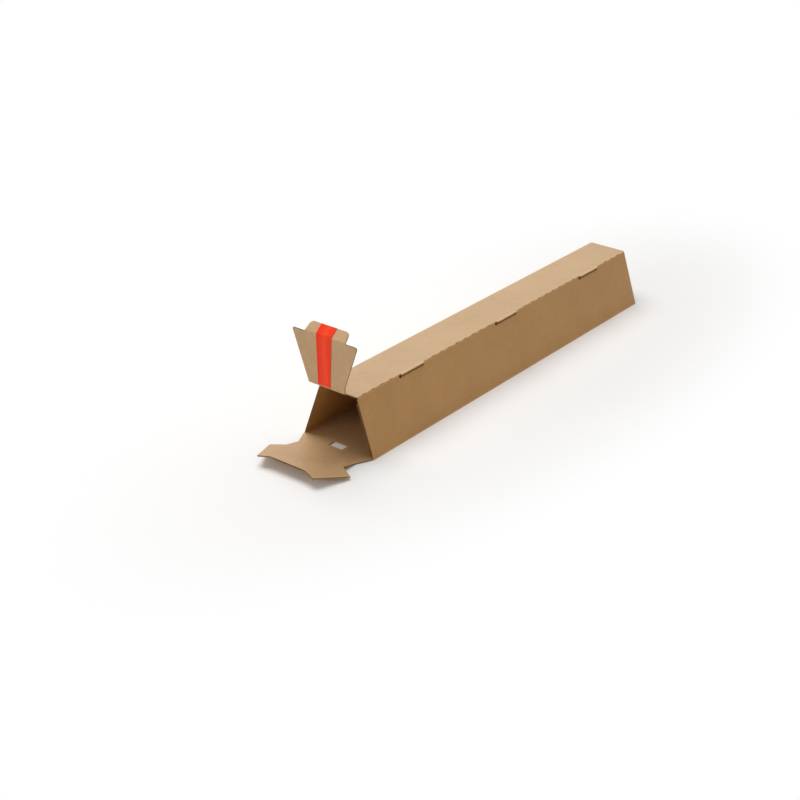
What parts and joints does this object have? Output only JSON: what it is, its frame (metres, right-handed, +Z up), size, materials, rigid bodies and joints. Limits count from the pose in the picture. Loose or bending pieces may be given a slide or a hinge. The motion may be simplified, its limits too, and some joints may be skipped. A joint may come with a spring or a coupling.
{
  "type": "cardboard mailing tube",
  "caption": "Long mailing tube of corrugated board with a trapezoid section, open at one end with a raised tuck-in lid, closed at the other end.",
  "frame": {"origin": "centre of the tube's flat underside", "axes": "+Y along the tube from the open mouth to the closed rear end, +Z up from the wide side to the narrow side, +X to the right seen from the mouth"},
  "size_m": [0.1322, 0.7491, 0.1718],
  "materials": {
    "kraft_board": "uncoated brown kraft liner on fine corrugated board",
    "release_liner": "smooth red release paper"
  },
  "bodies": {
    "tube": {"tube_body": "kraft_board"},
    "lid_spine": {"lid_spine": "kraft_board"},
    "lid": {"lid_panel": "kraft_board", "lid_liner": "release_liner"},
    "tuck_tab": {"tuck_tab": "kraft_board", "tab_liner": "release_liner"},
    "bottom_flap": {"bottom_flap": "kraft_board"}
  },
  "joints": [
    {"name": "lid_fold", "type": "hinge", "parent": "tube", "child": "lid_spine", "pos_m": [0, -0.3231, 0.0769], "axis": [1, 0, 0], "range_deg": [0, 212.5]},
    {"name": "wall_fold", "type": "hinge", "parent": "lid_spine", "child": "lid", "pos_m": [0, -0.34306, 0.0921], "axis": [-1, 0, 0], "range_deg": [0, 44.5]},
    {"name": "tab_fold", "type": "hinge", "parent": "lid", "child": "tuck_tab", "pos_m": [0, -0.34547, 0.16106], "axis": [-1, 0, 0], "range_deg": [0, 30]},
    {"name": "flap_fold", "type": "hinge", "parent": "tube", "child": "bottom_flap", "pos_m": [0, -0.3228, 0.0016], "axis": [-1, 0, 0], "range_deg": [0, 60]}
  ],
  "couplings": [
    {"joint": "wall_fold", "follows": "lid_fold", "ratio": 0.20941},
    {"joint": "tab_fold", "follows": "lid_fold", "ratio": 0.14118}
  ]
}
